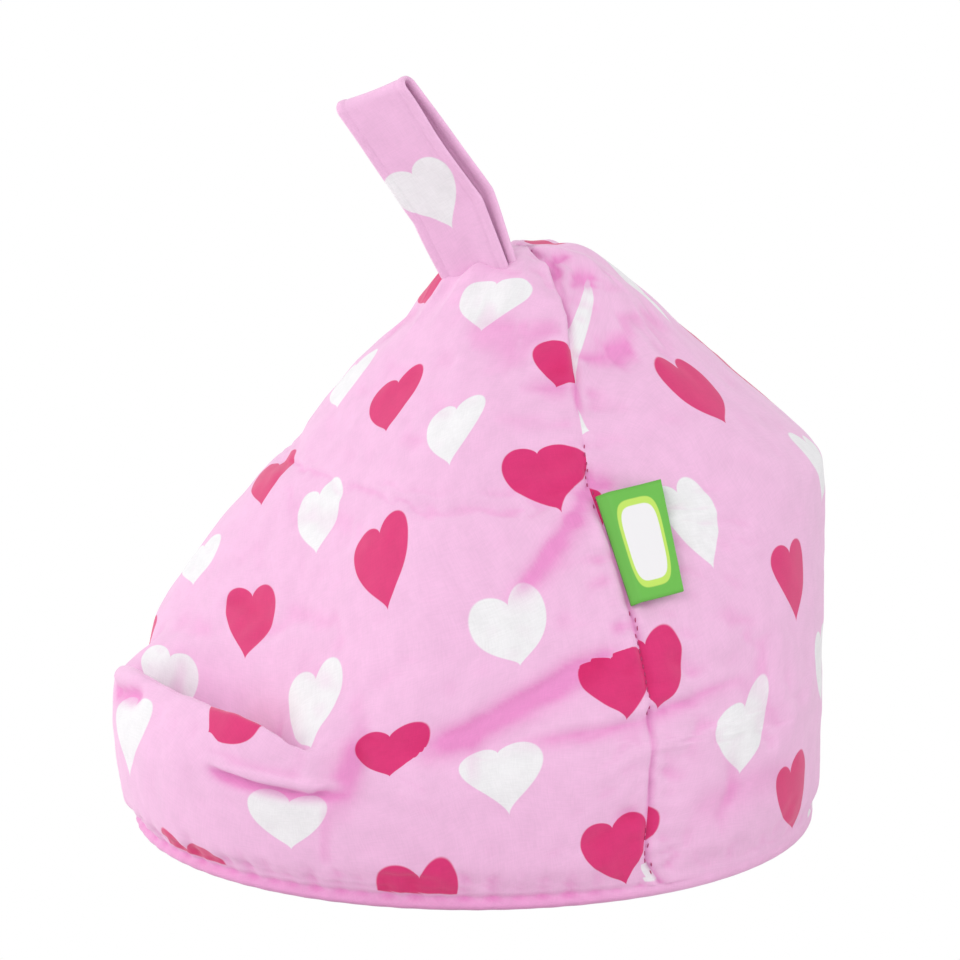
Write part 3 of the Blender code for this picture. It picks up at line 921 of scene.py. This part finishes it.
def build_stitches(cloth, grid):
    """Short threads along the side seams, where they show."""
    tree = BVHTree.FromObject(cloth, bpy.context.evaluated_depsgraph_get())
    shape = bmesh.new()
    for column in (0, COLUMNS // 2):
        line = grid[BASE_SEAM_ROW * SPLIT + 2 : ROWS - 2 * SPLIT, column]
        steps = np.linalg.norm(np.diff(line, axis=0), axis=1)
        marks = np.concatenate([[0.0], np.cumsum(steps)])
        for place in np.arange(0.002, marks[-1] - 0.002, STITCH_PITCH):
            spot = Vector([np.interp(place, marks, line[:, axis]) for axis in range(3)])
            if not any(low < spot.z < high for low, high in STITCHED_HEIGHTS):
                continue
            ahead = Vector([np.interp(place + 0.001, marks, line[:, axis]) for axis in range(3)])
            along = (ahead - spot).normalized()
            hit, outward, _, _ = tree.find_nearest(spot)
            over = along.cross(outward).normalized()
            tilt = (along + over * 0.2).normalized()
            turn = Matrix((tilt, outward.cross(tilt).normalized(), outward)).transposed().to_4x4()
            size = Matrix.Diagonal((*STITCH_SIZE, 1.0))
            matrix = Matrix.Translation(hit + outward * 0.00015) @ turn @ size
            bmesh.ops.create_uvsphere(shape, u_segments=6, v_segments=5, radius=1.0, matrix=matrix)
    return new_object("side_stitches", mesh_from("side_stitches", shape))


def link(tree, value, socket):
    if isinstance(value, bpy.types.NodeSocket):
        tree.links.new(value, socket)
    else:
        socket.default_value = value


def math_node(tree, operation, *values):
    node = tree.nodes.new("ShaderNodeMath")
    node.operation = operation
    for value, socket in zip(values, node.inputs):
        link(tree, value, socket)
    return node.outputs[0]


def map_range(tree, value, low, high, start, end):
    node = tree.nodes.new("ShaderNodeMapRange")
    node.interpolation_type = "SMOOTHSTEP"
    for given, socket in zip((value, low, high, start, end), node.inputs):
        link(tree, given, socket)
    return node.outputs[0]


def mix_colour(tree, share, a, b, blend="MIX"):
    node = tree.nodes.new("ShaderNodeMix")
    node.data_type = "RGBA"
    node.blend_type = blend
    link(tree, share, node.inputs[0])
    link(tree, a, node.inputs[6])
    link(tree, b, node.inputs[7])
    return node.outputs[2]


def noise_node(tree, vector, scale, detail=3.0):
    node = tree.nodes.new("ShaderNodeTexNoise")
    node.inputs["Scale"].default_value = scale
    node.inputs["Detail"].default_value = detail
    link(tree, vector, node.inputs["Vector"])
    return node.outputs["Fac"]


def new_group(name, inputs, outputs):
    group = bpy.data.node_groups.new(name, "ShaderNodeTree")
    for label, kind in inputs:
        group.interface.new_socket(label, in_out="INPUT", socket_type=kind)
    for label, kind in outputs:
        group.interface.new_socket(label, in_out="OUTPUT", socket_type=kind)
    return group, group.nodes.new("NodeGroupInput"), group.nodes.new("NodeGroupOutput")


def heart_mask(tree, x, y, shift):
    """1 inside the hearts of a lattice, shifted by a share of its cell."""
    half = 0.5 * HEART_WIDTH
    sides = []
    for value, pitch in ((x, PRINT_ACROSS), (y, PRINT_UP)):
        cell = math_node(tree, "ADD", math_node(tree, "DIVIDE", value, pitch), shift + 0.5)
        local = math_node(tree, "SUBTRACT", math_node(tree, "FRACT", cell), 0.5)
        sides.append(math_node(tree, "MULTIPLY", local, pitch / half))
    across = math_node(tree, "ABSOLUTE", sides[0])
    lobes = math_node(tree, "MULTIPLY", math_node(tree, "POWER", across, 0.62), 0.72)
    up = math_node(tree, "MULTIPLY", math_node(tree, "ADD", sides[1], 0.135), 1.347)
    rise = math_node(tree, "SUBTRACT", up, lobes)
    aside = math_node(tree, "POWER", across, 2.0)
    field = math_node(tree, "ADD", aside, math_node(tree, "MULTIPLY", rise, rise))
    return map_range(tree, field, 0.96, 1.05, 1.0, 0.0)


def heart_print():
    """Shader group: from print coordinates in metres, where the dark and the pale hearts are."""
    inputs = [("Print", "NodeSocketVector")]
    outputs = [("Dark", "NodeSocketFloat"), ("Pale", "NodeSocketFloat")]
    group, given, made = new_group("Heart print", inputs, outputs)
    split = group.nodes.new("ShaderNodeSeparateXYZ")
    group.links.new(given.outputs[0], split.inputs[0])
    x, y = split.outputs[0], split.outputs[1]
    group.links.new(heart_mask(group, x, y, 0.0), made.inputs[0])
    group.links.new(heart_mask(group, x, y, 0.5), made.inputs[1])
    return group


def plain_weave():
    """Shader group: mottled threads in both directions, as a value around 0.5."""
    inputs = [("Print", "NodeSocketVector")]
    outputs = [("Weave", "NodeSocketFloat")]
    group, given, made = new_group("Plain weave", inputs, outputs)
    threads = []
    for stretch in ((1.0, 0.12, 1.0), (0.12, 1.0, 1.0)):
        scale = group.nodes.new("ShaderNodeVectorMath")
        scale.operation = "MULTIPLY"
        group.links.new(given.outputs[0], scale.inputs[0])
        scale.inputs[1].default_value = stretch
        threads.append(noise_node(group, scale.outputs[0], 2200.0, 2.0))
    both = math_node(group, "ADD", *threads)
    group.links.new(math_node(group, "MULTIPLY", both, 0.5), made.inputs[0])
    return group


def group_node(tree, group, vector):
    node = tree.nodes.new("ShaderNodeGroup")
    node.node_tree = group
    tree.links.new(vector, node.inputs[0])
    return node


def new_material(name):
    made = bpy.data.materials.new(name)
    made.use_nodes = True
    surface = made.node_tree.nodes["Principled BSDF"]
    return made, made.node_tree, surface


def attribute(tree, name):
    node = tree.nodes.new("ShaderNodeAttribute")
    node.attribute_name = name
    return node.outputs["Fac"]


def cotton(name, prints, weave, place_at=(0.0, 0.0), turn=0.0, dark_share=1.0):
    """Printed cloth, with the print moved and turned and a share of its dark hearts' colour."""
    made, tree, surface = new_material(name)
    uv = tree.nodes.new("ShaderNodeUVMap")
    uv.uv_map = "print"
    place = tree.nodes.new("ShaderNodeMapping")
    tree.links.new(uv.outputs[0], place.inputs[0])
    place.inputs["Location"].default_value = (*place_at, 0.0)
    place.inputs["Rotation"].default_value = (0.0, 0.0, turn)
    spot = place.outputs[0]
    hearts = group_node(tree, prints, spot)
    threads = group_node(tree, weave, spot).outputs[0]
    printed = math_node(tree, "SUBTRACT", 1.0, attribute(tree, "plain"))
    pale = math_node(tree, "MULTIPLY", hearts.outputs["Pale"], printed)
    dark = math_node(tree, "MULTIPLY", hearts.outputs["Dark"], printed)
    ground = mix_colour(tree, pale, PINK, PALE)
    ground = mix_colour(tree, math_node(tree, "MULTIPLY", dark, dark_share), ground, DARK)
    shade = map_range(tree, threads, 0.30, 0.70, 0.96, 1.03)
    blotch = map_range(tree, noise_node(tree, spot, 120.0, 4.0), 0.3, 0.7, 0.97, 1.02)
    tone = math_node(tree, "MULTIPLY", shade, blotch)
    grey = tree.nodes.new("ShaderNodeCombineColor")
    for socket in grey.inputs:
        tree.links.new(tone, socket)
    ground = mix_colour(tree, 1.0, ground, grey.outputs[0], "MULTIPLY")
    # painted shade: the cloth is darkened toward the fold shade colour as the painted shade attribute rises
    shaded = mix_colour(tree, 1.0, ground, FOLD_SHADE, "MULTIPLY")
    ground = mix_colour(tree, attribute(tree, "painted_shade"), ground, shaded)
    tree.links.new(ground, surface.inputs["Base Color"])
    surface.inputs["Roughness"].default_value = 0.88
    surface.inputs["Specular IOR Level"].default_value = 0.25
    surface.inputs["Sheen Weight"].default_value = 0.30
    bump = tree.nodes.new("ShaderNodeBump")
    bump.inputs["Strength"].default_value = 0.12
    bump.inputs["Distance"].default_value = 0.0003
    tree.links.new(threads, bump.inputs["Height"])
    tree.links.new(bump.outputs[0], surface.inputs["Normal"])
    return made


def label_material():
    """Green tape with a plain pale field with rounded corners, edged in lime."""
    made, tree, surface = new_material("Label tape")
    uv = tree.nodes.new("ShaderNodeUVMap")
    uv.uv_map = "print"
    split = tree.nodes.new("ShaderNodeSeparateXYZ")
    tree.links.new(uv.outputs[0], split.inputs[0])
    powers = []
    for value, half in zip(split.outputs, LABEL_FIELD):
        aside = math_node(tree, "ABSOLUTE", math_node(tree, "SUBTRACT", value, 0.5))
        share = math_node(tree, "DIVIDE", math_node(tree, "MULTIPLY", aside, 2.0), half)
        powers.append(math_node(tree, "POWER", share, 4.0))
    field = math_node(tree, "ADD", *powers)
    colour = mix_colour(tree, map_range(tree, field, 1.0, 1.15, 1.0, 0.0), GREEN, LIME)
    colour = mix_colour(tree, map_range(tree, field, 0.52, 0.60, 1.0, 0.0), colour, PALE)
    tree.links.new(colour, surface.inputs["Base Color"])
    surface.inputs["Roughness"].default_value = 0.55
    surface.inputs["Specular IOR Level"].default_value = 0.3
    return made


def thread_material():
    made, _, surface = new_material("Seam thread")
    surface.inputs["Base Color"].default_value = THREAD
    surface.inputs["Roughness"].default_value = 0.7
    return made


def build_stage():
    """A plain pale floor that shows white to the camera."""
    shape = bmesh.new()
    bmesh.ops.create_grid(shape, x_segments=1, y_segments=1, size=6.0)
    floor = new_object("floor", mesh_from("floor", shape))
    floor.location.z = -0.0002
    made, tree, surface = new_material("Floor")
    surface.inputs["Base Color"].default_value = FLOOR
    surface.inputs["Roughness"].default_value = 0.9
    surface.inputs["Specular IOR Level"].default_value = 0.1
    white = tree.nodes.new("ShaderNodeEmission")
    white.inputs[0].default_value = WHITE
    white.inputs[1].default_value = 1.0
    path = tree.nodes.new("ShaderNodeLightPath")
    both = tree.nodes.new("ShaderNodeMixShader")
    tree.links.new(path.outputs["Is Camera Ray"], both.inputs[0])
    tree.links.new(surface.outputs[0], both.inputs[1])
    tree.links.new(white.outputs[0], both.inputs[2])
    tree.links.new(both.outputs[0], tree.nodes["Material Output"].inputs["Surface"])
    floor.data.materials.append(made)


def add_area(name, place, size, power, colour):
    """A round soft light, aimed at the bag's middle."""
    light = bpy.data.lights.new(name, "AREA")
    light.shape = "DISK"
    light.size = size
    light.energy = power
    light.color = colour
    lamp = new_object(name, light)
    lamp.location = place
    lamp.rotation_euler = (BAG_MIDDLE - Vector(place)).to_track_quat("-Z", "Y").to_euler()


def build_light():
    world = bpy.data.worlds.new("studio")
    bpy.context.scene.world = world
    world.use_nodes = True
    tree = world.node_tree
    ground = tree.nodes["Background"]
    ground.inputs[0].default_value = WHITE
    path = tree.nodes.new("ShaderNodeLightPath")
    tree.links.new(map_range(tree, path.outputs["Is Camera Ray"], 0.0, 1.0, 0.70, 1.0), ground.inputs[1])
    add_area("key", (1.1, -1.7, 1.5), 1.2, 16.0, (1.0, 0.99, 0.98))
    add_area("fill", (1.8, 1.0, 0.9), 1.6, 10.0, (1.0, 1.0, 1.0))
    add_area("left", (-1.5, -1.2, 0.6), 1.4, 15.0, (1.0, 1.0, 0.99))
    add_area("top", (0.0, 0.2, 2.2), 1.6, 2.5, (1.0, 1.0, 1.0))


def build_camera():
    lens = bpy.data.cameras.new("camera")
    lens.lens = 187.5
    lens.sensor_width = 36.0
    camera = new_object("camera", lens)
    forward = Vector((-0.824, 0.525, -0.2113)).normalized()
    right = Vector((0.537, 0.843, 0.0)).normalized()
    camera.location = (1.4756, -0.9338, 0.5030)
    camera.rotation_euler = Matrix((right, right.cross(forward), -forward)).transposed().to_euler()
    bpy.context.scene.camera = camera


cloth, grid = build_cloth()
flatten(cloth)
fill(cloth)
lay_print(cloth, grid)
subdivide(cloth)
fold_lines(cloth)
tuck_print(cloth)
sew_seams(cloth, grid)
paint_shade_and_plain_edge(cloth)
strap = build_strap(cloth)
label = build_label(cloth)
stitches = build_stitches(cloth, grid)

prints, weave = heart_print(), plain_weave()
cloth.data.materials.append(cotton("Printed cotton", prints, weave))
middle = Matrix.Rotation(STRAP_HEART_TURN, 2) @ Vector(STRAP_HEART)
strap_place = (0.5 * PRINT_ACROSS - middle.x, 0.5 * PRINT_UP - middle.y)
strap.data.materials.append(cotton("Strap cotton", prints, weave, strap_place, STRAP_HEART_TURN, 0.0))
label.data.materials.append(label_material())
stitches.data.materials.append(thread_material())

build_stage()
build_light()
build_camera()

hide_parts("cushion")
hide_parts("carry_handle")
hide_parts("side_label")
for piece in (cloth, strap, label, stitches):
    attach(piece, "root")

scene = bpy.context.scene
scene.render.engine = "CYCLES"
scene.render.resolution_x = 960
scene.render.resolution_y = 960
scene.view_settings.view_transform = "Standard"
